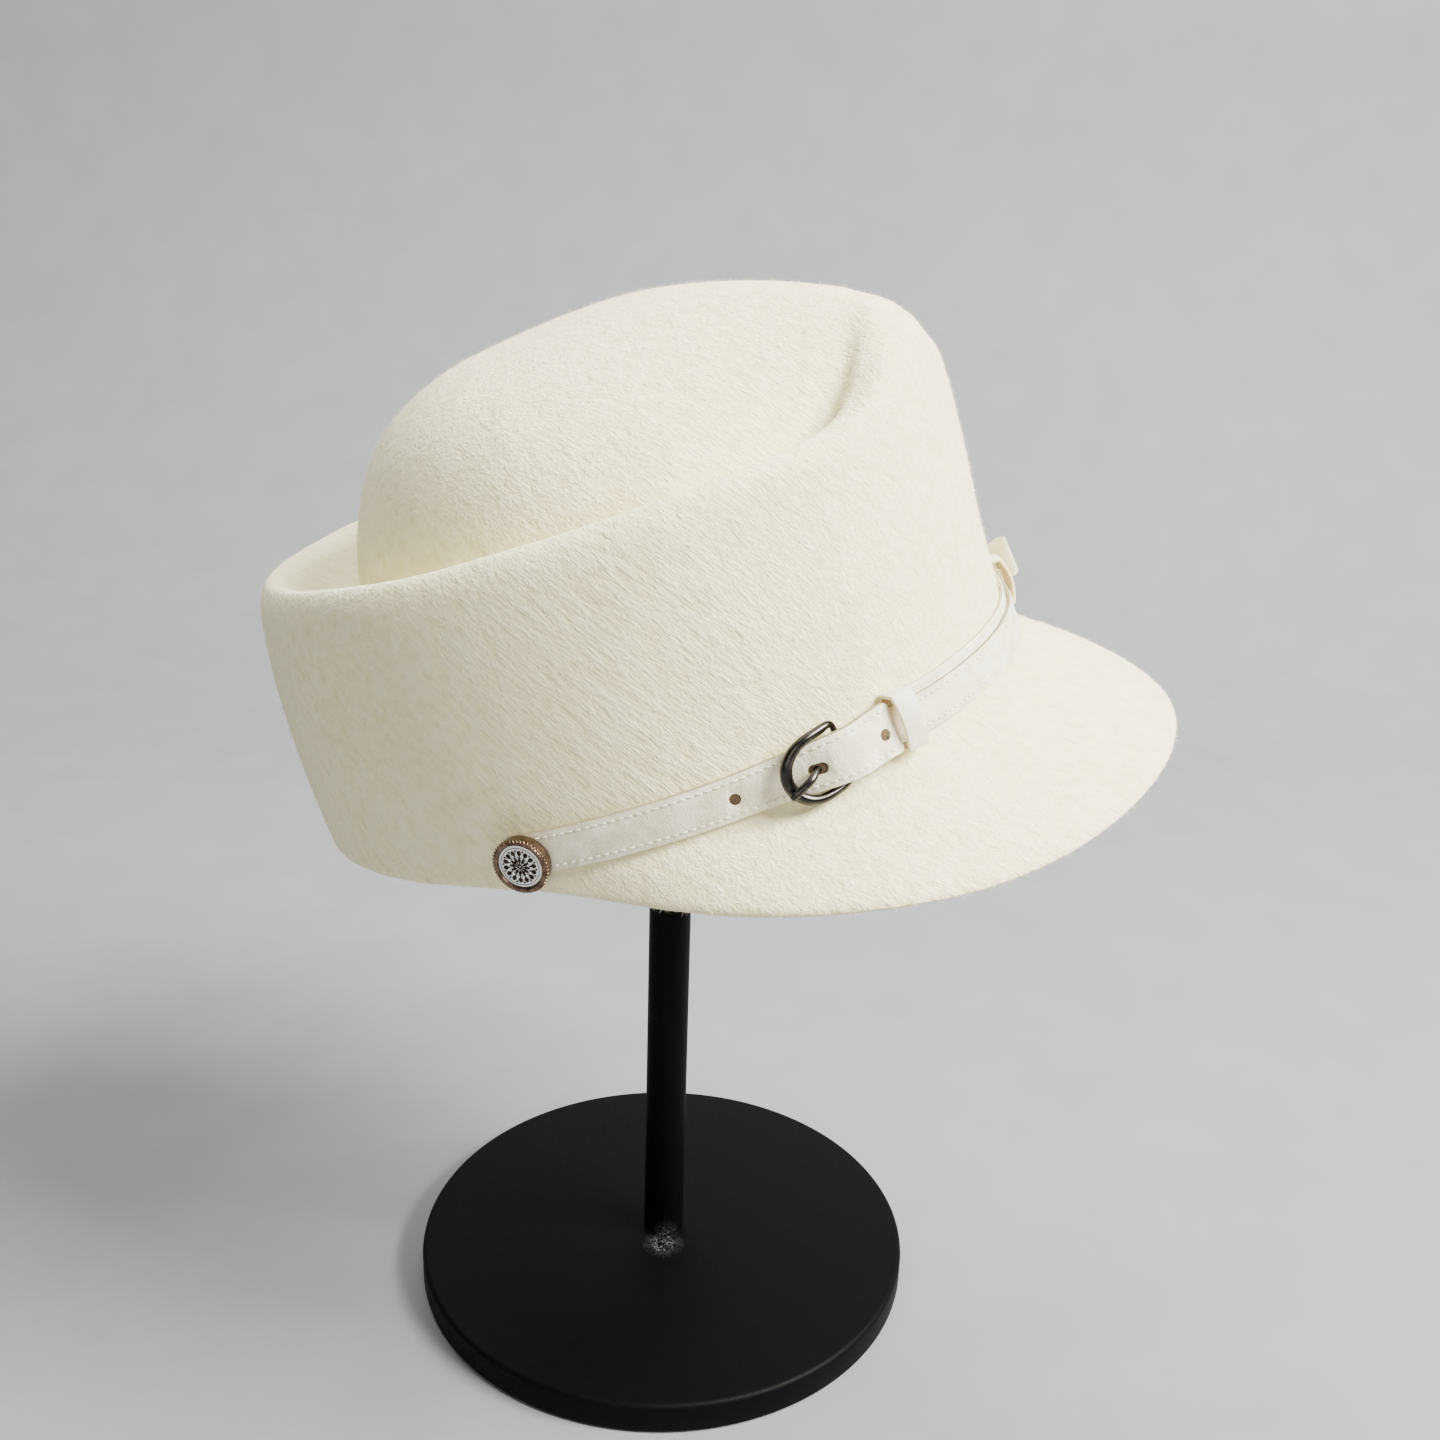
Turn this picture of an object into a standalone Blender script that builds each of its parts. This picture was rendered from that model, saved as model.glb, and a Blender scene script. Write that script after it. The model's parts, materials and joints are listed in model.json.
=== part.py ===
# Equestrian felt hat with a strap band, resting on a plain round stand.
# Units are metres, +Z up. The origin is the middle of the stand's underside.
# The wearer would look along -Y, and the wearer's right side is at -X.
# The hat is modelled in its own frame, whose XY plane is the lower line of the strap,
# and an empty then leans it back and to the side as it rests on the stand.
# Angles on the hat are measured at its middle from the front, positive to the wearer's left.

import math

import bmesh
import bpy
from mathutils import Vector

# Felt body
CROWN_LENGTH = 0.2045
CROWN_WIDTH = 0.175
CROWN_HEIGHT = 0.114
FELT_THICKNESS = 0.0025
VISOR_REACH = 0.0362
VISOR_DROP = 0.0275
VISOR_ARCH = 1.25
FELT_SIDES = 60

# Where the hat sits on the stand
LEAN_BACK = math.radians(19.0)
LEAN_SIDE = math.radians(8.8)
HAT_OFFSET_X = -0.0196
HAT_OFFSET_Y = -0.0089
HAT_HEIGHT = 0.1976

# Straps
GAP = 0.0003
STRAP_WIDTH = 0.0100
STRAP_LOW = 0.0013
STRAP_BOW = 0.0010
PLY_THICKNESS = 0.0009
TONGUE_THICKNESS = 0.0013
TONGUE_TILT = 0.0012
TONGUE_CORNER = 0.0010
LOOSE_TIP_RISE = 0.0050
LOOSE_TIP_LIFT = 0.0062
BACKING_RISE = 0.0016
HOLE_RADIUS = 0.0014
HOLE_DISTANCES = (-0.0099, 0.0252)
HOLE_DROP = 0.0003
END_CLEARANCE = 0.0006

# Buckle
BAR_ANGLE = 40.2
BAR_RADIUS = 0.0007
FRAME_WIRE_RADIUS = 0.0010
FRAME_BEND = 1.45
FRAME_BOW = 0.0012
FRAME_LENGTH = 0.0140
FRAME_CLEARANCE = 0.0002
PRONG_RADIUS = 0.0009
PRONG_SKEW = 0.0024
PRONG_HOLE_REACH = 0.0070
PRONG_HOLE_LENGTH = 0.0046
SLOT_REACH = 0.0042
FOLD_CLIMB = 0.0075

# Keeper loops
KEEPER_DISTANCE = 0.0166
KEEPER_WIDTH = 0.0056
KEEPER_THICKNESS = 0.0009
KEEPER_MARGIN = 0.0006
KEEPER_SLACK = 0.0009
KEEPER_ARCH = 0.0014

# Side buttons
BUTTON_ANGLE = 84.6
BUTTON_RADIUS = 0.0067
BUTTON_DEPTH = 0.0036
BUTTON_LIP = 0.0016
BUTTON_DROP = 0.0006
BUTTON_CLEARANCE = 0.0007
BUTTON_FACE_DEPTH = 0.0016

# Stand
BASE_RADIUS = 0.080
BASE_THICKNESS = 0.010
BASE_EDGE = 0.0012
POLE_RADIUS = 0.0065
REST_RADIUS = 0.028
REST_RIM = 0.003
TURNED_SIDES = 48


def clear_scene():
    for thing in list(bpy.data.objects):
        bpy.data.objects.remove(thing)


def new_material(name, colour, roughness, metallic=0.0):
    material = bpy.data.materials.new(name)
    material.use_nodes = True
    shader = material.node_tree.nodes["Principled BSDF"]
    shader.inputs["Base Color"].default_value = (*colour, 1.0)
    shader.inputs["Roughness"].default_value = roughness
    shader.inputs["Metallic"].default_value = metallic
    return material


def new_collection(name):
    collection = bpy.data.collections.new(name)
    bpy.context.scene.collection.children.link(collection)
    return collection


def place(thing, material, parent=None):
    PARTS.objects.link(thing)
    thing.data.materials.append(material)
    thing.parent = parent
    return thing


def mesh_object(name, points, faces, material, parent=None, smooth=True):
    """A mesh of the given points and faces, with its faces turned outwards."""
    mesh = bpy.data.meshes.new(name)
    mesh.from_pydata([tuple(point) for point in points], [], faces)
    body = bmesh.new()
    body.from_mesh(mesh)
    bmesh.ops.recalc_face_normals(body, faces=body.faces)
    body.to_mesh(mesh)
    body.free()
    if smooth:
        mesh.shade_smooth()
        mesh.set_sharp_from_angle(angle=math.radians(35.0))
    return place(bpy.data.objects.new(name, mesh), material, parent)


def between(start, end, share):
    return start + (end - start) * share


def curve_through(rows, position):
    """Value at a place along a table of (place, value) rows, on a smooth curve through them."""
    last = len(rows) - 1
    index = 0
    while index < last - 1 and position > rows[index + 1][0]:
        index += 1
    (x0, y0), (x1, y1) = rows[index], rows[index + 1]
    share = min(max((position - x0) / (x1 - x0), 0.0), 1.0)

    def slope(i):
        if i == 0 or i == last:
            near = rows[min(i + 1, last)]
            far = rows[max(i - 1, 0)]
            return (near[1] - far[1]) / (near[0] - far[0]) * 0.5
        return (rows[i + 1][1] - rows[i - 1][1]) / (rows[i + 1][0] - rows[i - 1][0])

    width = x1 - x0
    square, cube = share * share, share * share * share
    return (
        (2 * cube - 3 * square + 1) * y0
        + (cube - 2 * square + share) * slope(index) * width
        + (3 * square - 2 * cube) * y1
        + (cube - square) * slope(index + 1) * width
    )


# Sections of the crown from the strap line up to the middle of the dome.
# Front and back are shares of CROWN_LENGTH, side of CROWN_WIDTH, heights of CROWN_HEIGHT.
# The last column says how narrowly the front height is kept to the front: 2 is broad.
CROWN_SECTIONS = (
    # name, front, back, side, front height, side height, back height, front narrowness
    ("strap line", 0.484, 0.516, 0.500, -0.013, 0.004, 0.079, 2),
    ("band top", 0.482, 0.514, 0.499, 0.123, 0.123, 0.150, 2),
    ("wall low", 0.485, 0.509, 0.497, 0.263, 0.254, 0.275, 2),
    ("wall middle", 0.491, 0.497, 0.493, 0.421, 0.403, 0.412, 2),
    ("wall high", 0.496, 0.484, 0.487, 0.579, 0.518, 0.535, 2),
    ("shoulder", 0.496, 0.470, 0.479, 0.700, 0.588, 0.618, 12),
    ("rim outside", 0.488, 0.457, 0.466, 0.775, 0.628, 0.658, 26),
    ("rim top", 0.476, 0.443, 0.451, 0.811, 0.643, 0.676, 32),
    ("rim inside", 0.463, 0.420, 0.438, 0.834, 0.630, 0.652, 28),
    ("groove wall", 0.452, 0.380, 0.426, 0.847, 0.590, 0.570, 24),
    ("groove", 0.441, 0.340, 0.414, 0.857, 0.565, 0.504, 21),
    ("dome foot", 0.428, 0.315, 0.403, 0.868, 0.588, 0.544, 18),
    ("dome side", 0.403, 0.300, 0.388, 0.885, 0.672, 0.649, 14),
    ("dome shoulder", 0.356, 0.270, 0.357, 0.916, 0.772, 0.754, 9),
    ("dome upper", 0.292, 0.236, 0.310, 0.950, 0.860, 0.842, 6),
    ("dome top", 0.218, 0.190, 0.240, 0.980, 0.930, 0.917, 4),
    ("dome crown", 0.137, 0.105, 0.154, 0.996, 0.978, 0.974, 2),
)
# The dome's middle lies this share of CROWN_LENGTH in front of the hat's middle.
DOME_MIDDLE = 0.06
# The sections that are rounded by one more ring between each pair.
FIRST_ROUNDED = 5
LAST_ROUNDED = 12

# The visor by angle from the front, as shares of VISOR_REACH and VISOR_DROP.
VISOR_SECTIONS = (
    # angle, reach, drop
    (0.0, 1.00, 1.00),
    (20.0, 0.95, 0.97),
    (35.0, 0.83, 0.87),
    (50.0, 0.60, 0.63),
    (60.0, 0.41, 0.48),
    (68.0, 0.23, 0.36),
    (76.0, 0.08, 0.25),
    (84.0, 0.01, 0.12),
    (92.0, 0.00, 0.02),
    (102.0, 0.00, -0.06),
    (125.0, 0.00, -0.10),
    (180.0, 0.00, -0.15),
)
VISOR_RINGS = (1.0, 0.72, 0.42, 0.16)

# The strap's tongue, from its squared tip at the keeper to the button.
# Places are distances from the buckle's bar as shares of FRAME_LENGTH.
# Lift is the share of the way from lying on the felt to riding over the prong's hook,
# width is a share of STRAP_WIDTH, and tilt of TONGUE_TILT.
TONGUE_SECTIONS = (
    # name, place, lift, width, tilt
    ("tip", -0.96, 0.47, 1.21, 1.0),
    ("over the folded strap", -0.50, 0.64, 1.20, 1.0),
    ("before the bar", -0.20, 0.97, 1.19, 0.7),
    ("after the bar", 0.20, 1.00, 1.17, 0.4),
    ("prong hole", 0.51, 0.69, 1.14, 0.2),
    ("under the frame's end", 0.93, 0.26, 1.08, 0.05),
    ("onto the felt", 1.40, 0.07, 1.04, 0.0),
    ("flat on the felt", 2.00, 0.00, 1.02, 0.0),
    ("button", 6.20, 0.00, 1.00, 0.0),
)
# The share of the tongue's extra width that lies above the strap.
TONGUE_UPWARD = 0.65
# How far the whole strap bows upwards, by angle from the buckle's bar, as a share of STRAP_BOW.
STRAP_RISE = (
    # angle, rise
    (-60.0, 0.00),
    (-15.0, 0.10),
    (-10.0, 0.75),
    (-7.0, 0.95),
    (-2.0, 1.00),
    (2.0, 0.95),
    (7.0, 0.50),
    (13.0, 0.20),
    (20.0, 0.00),
    (160.0, 0.00),
)


def crown_section(position):
    """The crown's section at a place along the table, as (front, back, side, heights, narrowness)."""
    return [
        curve_through([(i, row[column]) for i, row in enumerate(CROWN_SECTIONS)], position)
        for column in range(1, 8)
    ]


def oval_point(front, back, side, angle):
    """A point of an oval, and the outward direction there, both flat."""
    half = (front + back) / 2 * CROWN_LENGTH
    middle = (back - front) / 2 * CROWN_LENGTH
    width = side * CROWN_WIDTH
    point = Vector((width * math.sin(angle), middle - half * math.cos(angle), 0.0))
    outward = Vector((math.sin(angle) / width, -math.cos(angle) / half, 0.0)).normalized()
    return point, outward


def crown_point(position, angle):
    front, back, side, front_z, side_z, back_z, narrowness = crown_section(position)
    point, _ = oval_point(front, back, side, angle)
    facing = math.cos(angle)
    to_front = max(facing, 0.0) ** narrowness
    to_back = max(-facing, 0.0) ** 1.2
    height = side_z + (front_z - side_z) * to_front + (back_z - side_z) * to_back
    point.z = height * CROWN_HEIGHT
    return point


def visor_point(share, angle):
    """A point of the visor, from the strap line at share 0 to the lower edge at share 1."""
    turn = abs(math.degrees(math.remainder(angle, math.tau)))
    reach = curve_through([(row[0], row[1]) for row in VISOR_SECTIONS], turn) * VISOR_REACH
    drop = curve_through([(row[0], row[2]) for row in VISOR_SECTIONS], turn) * VISOR_DROP
    start = crown_point(0, angle)
    _, outward = oval_point(*CROWN_SECTIONS[0][1:4], angle)
    edge_z = crown_point(0, 0.0).z - drop
    fall = (start.z - edge_z) * share ** VISOR_ARCH
    return start + outward * reach * share - Vector((0.0, 0.0, fall))


def felt_body(parent):
    """Crown, rim, groove, dome and visor of one piece of blocked felt, as a shell."""
    rings = [lambda angle, share=share: visor_point(share, angle) for share in VISOR_RINGS]
    positions = []
    for row in range(len(CROWN_SECTIONS)):
        positions.append(row)
        if FIRST_ROUNDED <= row < LAST_ROUNDED:
            positions.append(row + 0.5)
    rings += [lambda angle, at=at: crown_point(at, angle) for at in positions]
    points = []
    for ring in rings:
        points += [ring(math.tau * side / FELT_SIDES) for side in range(FELT_SIDES)]
    points.append(Vector((0.0, -DOME_MIDDLE * CROWN_LENGTH, CROWN_HEIGHT)))
    faces = []
    for ring in range(len(rings) - 1):
        for side in range(FELT_SIDES):
            following = (side + 1) % FELT_SIDES
            low, high = ring * FELT_SIDES, (ring + 1) * FELT_SIDES
            faces.append((low + side, low + following, high + following, high + side))
    last = (len(rings) - 1) * FELT_SIDES
    for side in range(FELT_SIDES):
        faces.append((last + side, last + (side + 1) % FELT_SIDES, len(points) - 1))
    body = mesh_object("felt_body", points, faces, FELT, parent)
    wall = body.modifiers.new("Felt thickness", "SOLIDIFY")
    wall.thickness = FELT_THICKNESS
    wall.offset = -1.0
    wall.use_even_offset = True
    return body


def on_band(angle_degrees, strap_height, stand_off):
    """A point at a height of the bowed strap zone, standing off the felt by a distance."""
    angle = math.radians(angle_degrees)
    height = strap_height + curve_through(STRAP_RISE, abs(angle_degrees) - BAR_ANGLE) * STRAP_BOW
    row = 0
    while row < FIRST_ROUNDED - 1 and crown_point(row + 1, angle).z < height:
        row += 1
    low_z, high_z = crown_point(row, angle).z, crown_point(row + 1, angle).z
    share = (height - low_z) / (high_z - low_z)
    low, high = crown_section(row)[:3], crown_section(row + 1)[:3]
    front, back, side = (between(a, b, share) for a, b in zip(low, high))
    point, outward = oval_point(front, back, side, angle)
    point = point + outward * stand_off
    point.z = height
    return point


def degrees_for(length, angle_degrees):
    """The angle that a length along the band takes up near an angle."""
    step = 0.5
    near = on_band(angle_degrees - step, 0.0, 0.0)
    far = on_band(angle_degrees + step, 0.0, 0.0)
    return length / (far - near).length


def loft(name, rings, material, parent, closed=False, smooth=True):
    """A solid through rings of points, capped at both ends unless it closes on itself."""
    count = len(rings[0])
    points = [point for ring in rings for point in ring]
    faces = []
    for ring in range(len(rings) if closed else len(rings) - 1):
        this, following = ring * count, (ring + 1) % len(rings) * count
        for i in range(count):
            j = (i + 1) % count
            faces.append((this + i, this + j, following + j, following + i))
    if not closed:
        faces.append(tuple(range(count)))
        faces.append(tuple(range(len(points) - count, len(points))))
    return mesh_object(name, points, faces, material, parent, smooth)


def from_bar(distance):
    """The angle of a place at a distance along the strap from the buckle's bar."""
    return BAR_ANGLE + degrees_for(distance, BAR_ANGLE)


def tongue_column(column, angle_degrees):
    """A value of the tongue's table at an angle."""
    place = (angle_degrees - BAR_ANGLE) / degrees_for(FRAME_LENGTH, BAR_ANGLE)
    return curve_through([(row[1], row[column]) for row in TONGUE_SECTIONS], place)


def tongue_stand_off(angle_degrees):
    """How far the tongue's inner face stands off the felt: it rides over the prong's hook."""
    over_hook = bar_stand_off() + BAR_RADIUS + GAP + 2 * PRONG_RADIUS + GAP
    return between(GAP, over_hook, max(tongue_column(2, angle_degrees), 0.0))


def tongue_end_angle():
    """The tongue's squared tip stands just clear of the keeper."""
    return keeper_angle() + degrees_for(KEEPER_WIDTH / 2 + END_CLEARANCE, BAR_ANGLE)


def loose_tip(side, angle_degrees):
    """How far the left tongue's loose tip has sprung: nothing at the bar, all at its end."""
    if side < 0 or angle_degrees > BAR_ANGLE:
        return 0.0
    share = (BAR_ANGLE - angle_degrees) / (BAR_ANGLE - tongue_end_angle())
    return share * share


def strap_tongue(name, side, parent):
    """The strap from the button to its squared end at the keeper, over the buckle's bar."""
    start = BUTTON_ANGLE + degrees_for(BUTTON_RADIUS / 2, BUTTON_ANGLE)
    end = tongue_end_angle()
    corner = degrees_for(TONGUE_CORNER, end)
    steps = 28
    angles = [end, end + corner * 0.35, end + corner]
    angles += [between(angles[-1], start, (i + 1) / steps) for i in range(steps)]
    insets = [TONGUE_CORNER * 0.8, TONGUE_CORNER * 0.3] + [0.0] * (len(angles) - 2)
    rings = []
    for angle, inset in zip(angles, insets):
        sprung = loose_tip(side, angle)
        extra = (tongue_column(3, angle) - 1.0) * STRAP_WIDTH
        low = STRAP_LOW - extra * (1.0 - TONGUE_UPWARD) + inset + sprung * LOOSE_TIP_RISE
        high = STRAP_LOW + STRAP_WIDTH + extra * TONGUE_UPWARD - inset + sprung * LOOSE_TIP_RISE
        upper_in = tongue_stand_off(angle) + sprung * LOOSE_TIP_LIFT
        lower_in = upper_in + tongue_column(4, angle) * TONGUE_TILT
        rings.append([
            on_band(side * angle, low, lower_in),
            on_band(side * angle, low, lower_in + TONGUE_THICKNESS),
            on_band(side * angle, high, upper_in + TONGUE_THICKNESS),
            on_band(side * angle, high, upper_in),
        ])
    tongue = loft(name, rings, STRAP, parent)
    holes = [(from_bar(distance), 0.0) for distance in HOLE_DISTANCES]
    holes.append((from_bar(PRONG_HOLE_REACH), PRONG_HOLE_LENGTH))
    for number, (angle, length) in enumerate(holes):
        height = STRAP_LOW + STRAP_WIDTH / 2 - HOLE_DROP + loose_tip(side, angle) * LOOSE_TIP_RISE
        punch = hole_punch(f"{name}_punch_{number}", side * angle, height, length, parent)
        cut = tongue.modifiers.new(f"Hole {number}", "BOOLEAN")
        cut.operation = "DIFFERENCE"
        cut.object = punch
    return tongue


def hole_punch(name, angle, height, length, parent):
    """A round or slotted punch that stands square on the band; it is only a cutter."""
    sides = 12
    depth = tongue_stand_off(BAR_ANGLE) + 2 * TONGUE_THICKNESS + LOOSE_TIP_LIFT
    body = bmesh.new()
    stretch = max(length / 2 - HOLE_RADIUS, 0.0)
    lower, upper = [], []
    for i in range(sides):
        turn = math.tau * (i + 0.5) / sides
        across = HOLE_RADIUS * math.sin(turn)
        along = HOLE_RADIUS * math.cos(turn)
        along += math.copysign(stretch, along)
        lower.append(body.verts.new((along, across, -depth / 4)))
        upper.append(body.verts.new((along, across, depth)))
    body.faces.new(lower[::-1])
    body.faces.new(upper)
    for i in range(sides):
        j = (i + 1) % sides
        body.faces.new((lower[i], lower[j], upper[j], upper[i]))
    mesh = bpy.data.meshes.new(name)
    body.to_mesh(mesh)
    body.free()
    punch = bpy.data.objects.new(name, mesh)
    CUTTERS.objects.link(punch)
    punch.parent = parent
    punch.location = on_band(angle, height, 0.0)
    outward = on_band(angle, height, 0.001) - on_band(angle, height, 0.0)
    punch.rotation_mode = "QUATERNION"
    punch.rotation_quaternion = outward.to_track_quat("Z", "Y")
    punch.hide_render = True
    punch.display_type = "WIRE"
    return punch


def front_ply_low():
    """How far the front ply stands off the felt, over the backing, fold or keeper's back."""
    return GAP + max(PLY_THICKNESS, KEEPER_THICKNESS) + GAP


def keeper_angle():
    return from_bar(-KEEPER_DISTANCE)


def bar_stand_off():
    """How far the buckle bar's middle stands off the felt: the folded ply passes under it."""
    return front_ply_low() + BAR_RADIUS


def fold_rings(side):
    """One half of the front strap, from the middle of the front, round the bar and back."""
    ply_low = front_ply_low()
    fold_inner = BAR_RADIUS + GAP
    fold_outer = fold_inner + PLY_THICKNESS
    bar_off = bar_stand_off()
    climb = degrees_for(FOLD_CLIMB, BAR_ANGLE)
    path = []
    for i in range(13):
        path.append((BAR_ANGLE - climb) * i / 12)
    outer = [(angle, ply_low, ply_low + PLY_THICKNESS) for angle in path]
    for i in range(1, 5):
        share = i / 5
        ease = share * share * (3 - 2 * share)
        rise = (bar_off + fold_inner - ply_low) * ease
        outer.append((BAR_ANGLE - climb * (1 - share), ply_low + rise, ply_low + rise + PLY_THICKNESS))
    for i in range(9):
        turn = math.pi * i / 8
        across, up = math.sin(turn), math.cos(turn)
        outer.append((
            (BAR_ANGLE + degrees_for(fold_inner, BAR_ANGLE) * across, bar_off + fold_inner * up),
            (BAR_ANGLE + degrees_for(fold_outer, BAR_ANGLE) * across, bar_off + fold_outer * up),
        ))
    back_end = tongue_end_angle()
    for i in range(1, 7):
        outer.append((between(BAR_ANGLE, back_end, i / 6), GAP + PLY_THICKNESS, GAP))
    rings = []
    low, high = STRAP_LOW, STRAP_LOW + STRAP_WIDTH - BACKING_RISE / 2
    for entry in outer:
        if len(entry) == 3:
            inner_spot, outer_spot = (entry[0], entry[1]), (entry[0], entry[2])
        else:
            inner_spot, outer_spot = entry
        rings.append([
            on_band(side * inner_spot[0], low, inner_spot[1]),
            on_band(side * outer_spot[0], low, outer_spot[1]),
            on_band(side * outer_spot[0], high, outer_spot[1]),
            on_band(side * inner_spot[0], high, inner_spot[1]),
        ])
    return rings


def strap_front(parent):
    """The front strap, folded round both buckle bars and slotted there for the prongs."""
    left = fold_rings(1)
    right = fold_rings(-1)
    strap = loft("strap_front", right[:0:-1] + left, STRAP, parent)
    for side in (1, -1):
        slot = slot_cutter(f"strap_slot_{side + 1}", side, parent)
        cut = strap.modifiers.new(f"Prong slot {side + 1}", "BOOLEAN")
        cut.operation = "DIFFERENCE"
        cut.object = slot
    return strap


def slot_cutter(name, side, parent):
    """The slot in the fold that the prong's hook sits in; it is only a cutter."""
    half = PRONG_RADIUS + GAP * 1.5
    centre = STRAP_LOW + STRAP_WIDTH / 2
    near, far = from_bar(-SLOT_REACH), from_bar(SLOT_REACH)
    top = bar_stand_off() + SLOT_REACH
    rings = []
    for angle in (near, far):
        rings.append([
            on_band(side * angle, centre - half, GAP * 0.5),
            on_band(side * angle, centre - half, top),
            on_band(side * angle, centre + half, top),
            on_band(side * angle, centre + half, GAP * 0.5),
        ])
    slot = loft(name, rings, STRAP, parent, smooth=False)
    PARTS.objects.unlink(slot)
    CUTTERS.objects.link(slot)
    slot.hide_render = True
    slot.display_type = "WIRE"
    return slot


def strap_backing(parent):
    """The second ply under the front strap, which shows as a strip above it."""
    end = keeper_angle() - degrees_for(KEEPER_WIDTH / 2 + END_CLEARANCE, BAR_ANGLE)
    steps = 26
    low, high = STRAP_LOW + BACKING_RISE / 2, STRAP_LOW + STRAP_WIDTH + BACKING_RISE
    rings = []
    for i in range(steps + 1):
        angle = between(-end, end, i / steps)
        rings.append([
            on_band(angle, low, GAP),
            on_band(angle, low, GAP + PLY_THICKNESS),
            on_band(angle, high, GAP + PLY_THICKNESS),
            on_band(angle, high, GAP),
        ])
    return loft("strap_backing", rings, STRAP, parent)


def keeper(name, side, parent):
    """A loose loop round the front strap, arched outwards, with room for the tongue."""
    low = STRAP_LOW - KEEPER_MARGIN
    high = STRAP_LOW + STRAP_WIDTH + BACKING_RISE / 2 + KEEPER_MARGIN
    back_in = GAP + KEEPER_THICKNESS
    front_in = front_ply_low() + PLY_THICKNESS + GAP + TONGUE_THICKNESS + KEEPER_SLACK
    middle = keeper_angle()
    half_turn = degrees_for(KEEPER_WIDTH / 2, BAR_ANGLE)
    inner, outer = [], []
    steps = 8
    for i in range(steps + 1):
        share = i / steps
        bulge = front_in + KEEPER_ARCH * math.sin(math.pi * share)
        inner.append((between(low, high, share), bulge))
        spread = between(low - KEEPER_THICKNESS, high + KEEPER_THICKNESS, share)
        outer.append((spread, bulge + KEEPER_THICKNESS))
    half_way = between(front_in, back_in, 0.5)
    inner += [(high, half_way), (high, back_in), (low, back_in), (low, half_way)]
    outer += [(high + KEEPER_THICKNESS, half_way), (high + KEEPER_THICKNESS, GAP)]
    outer += [(low - KEEPER_THICKNESS, GAP), (low - KEEPER_THICKNESS, half_way)]
    near, far = side * (middle - half_turn), side * (middle + half_turn)
    rings = []
    for (in_z, in_off), (out_z, out_off) in zip(inner, outer):
        rings.append([
            on_band(near, in_z, in_off),
            on_band(far, in_z, in_off),
            on_band(far, out_z, out_off),
            on_band(near, out_z, out_off),
        ])
    return loft(name, rings, STRAP, parent, closed=True)


def wire(name, points, radius, material, parent, closed=False, radii=None, resolution=2):
    """A round wire through points, with filled ends."""
    curve = bpy.data.curves.new(name, "CURVE")
    curve.dimensions = "3D"
    curve.bevel_depth = radius
    curve.bevel_resolution = resolution
    curve.use_fill_caps = not closed
    spline = curve.splines.new("POLY")
    spline.points.add(len(points) - 1)
    for i, point in enumerate(points):
        spline.points[i].co = (*point, 1.0)
        if radii:
            spline.points[i].radius = radii[i]
    spline.use_cyclic_u = closed
    return place(bpy.data.objects.new(name, curve), material, parent)


def frame_stand_off(reach):
    """How far the buckle frame's wire stands off the felt at a distance from its bar."""
    tongue = tongue_stand_off(from_bar(FRAME_LENGTH)) + TONGUE_THICKNESS
    far = tongue + TONGUE_TILT / 4 + GAP * 2 + FRAME_WIRE_RADIUS * FRAME_BEND
    share = min(reach / FRAME_LENGTH, 1.0)
    return between(bar_stand_off(), far, share) + FRAME_BOW * math.sin(math.pi * share)


def buckle_frame(name, side, parent):
    """A horseshoe frame closed by its bar, in one wire: thin at the bar, thick at the bend."""
    centre = STRAP_LOW + STRAP_WIDTH / 2
    widest = max(row[3] for row in TONGUE_SECTIONS if 0.0 < row[1] < 1.0) - 1.0
    half = STRAP_WIDTH * (0.5 + widest * TONGUE_UPWARD) + FRAME_CLEARANCE + FRAME_WIRE_RADIUS
    straight = FRAME_LENGTH - half
    outline, radii = [], []
    for i in range(5):
        outline.append((0.0, between(-half, half, i / 4)))
        radii.append(BAR_RADIUS / FRAME_WIRE_RADIUS)
    for i in range(1, 4):
        outline.append((straight * i / 3, half))
        radii.append(1.0)
    for i in range(1, 12):
        turn = math.pi * i / 12
        outline.append((straight + half * math.sin(turn), half * math.cos(turn)))
        radii.append(between(1.0, FRAME_BEND, math.sin(turn)))
    for i in range(3, 0, -1):
        outline.append((straight * i / 3, -half))
        radii.append(1.0)
    points = []
    for reach, across in outline:
        points.append(on_band(side * from_bar(reach), centre + across, frame_stand_off(reach)))
    return wire(name, points, FRAME_WIRE_RADIUS, GUNMETAL, parent, closed=True, radii=radii)


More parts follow.
